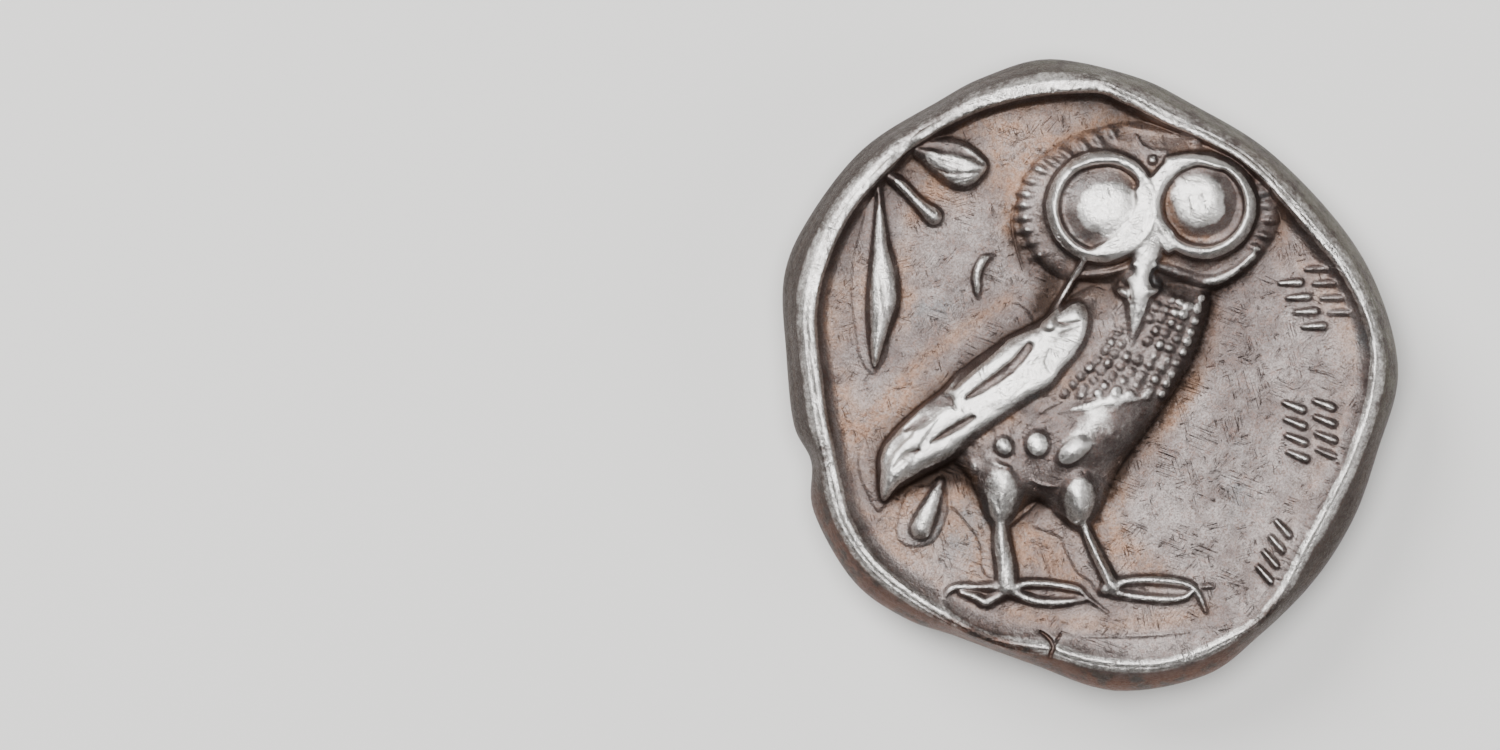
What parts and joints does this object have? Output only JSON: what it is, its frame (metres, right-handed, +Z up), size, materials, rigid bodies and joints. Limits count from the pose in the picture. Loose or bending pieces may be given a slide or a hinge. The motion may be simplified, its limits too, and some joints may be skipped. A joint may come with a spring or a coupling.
{
  "type": "tetradrachm coin",
  "caption": "Thick hand-struck silver coin: an owl with an olive sprig on one side, a helmeted head in profile on the other, on an irregular round flan.",
  "frame": {"origin": "middle of the coin's box in plan, on the surface it lies on", "axes": "+Z up through the coin's thickness, +Y towards the top of the owl, +X to the owl's right as seen from above"},
  "size_m": [0.0248, 0.0254, 0.0055],
  "materials": {
    "silver": "worn struck silver, bright on the high points, brown and orange tone in the field and near black in the recesses"
  },
  "bodies": {
    "root": {"coin": "silver"}
  },
  "joints": []
}
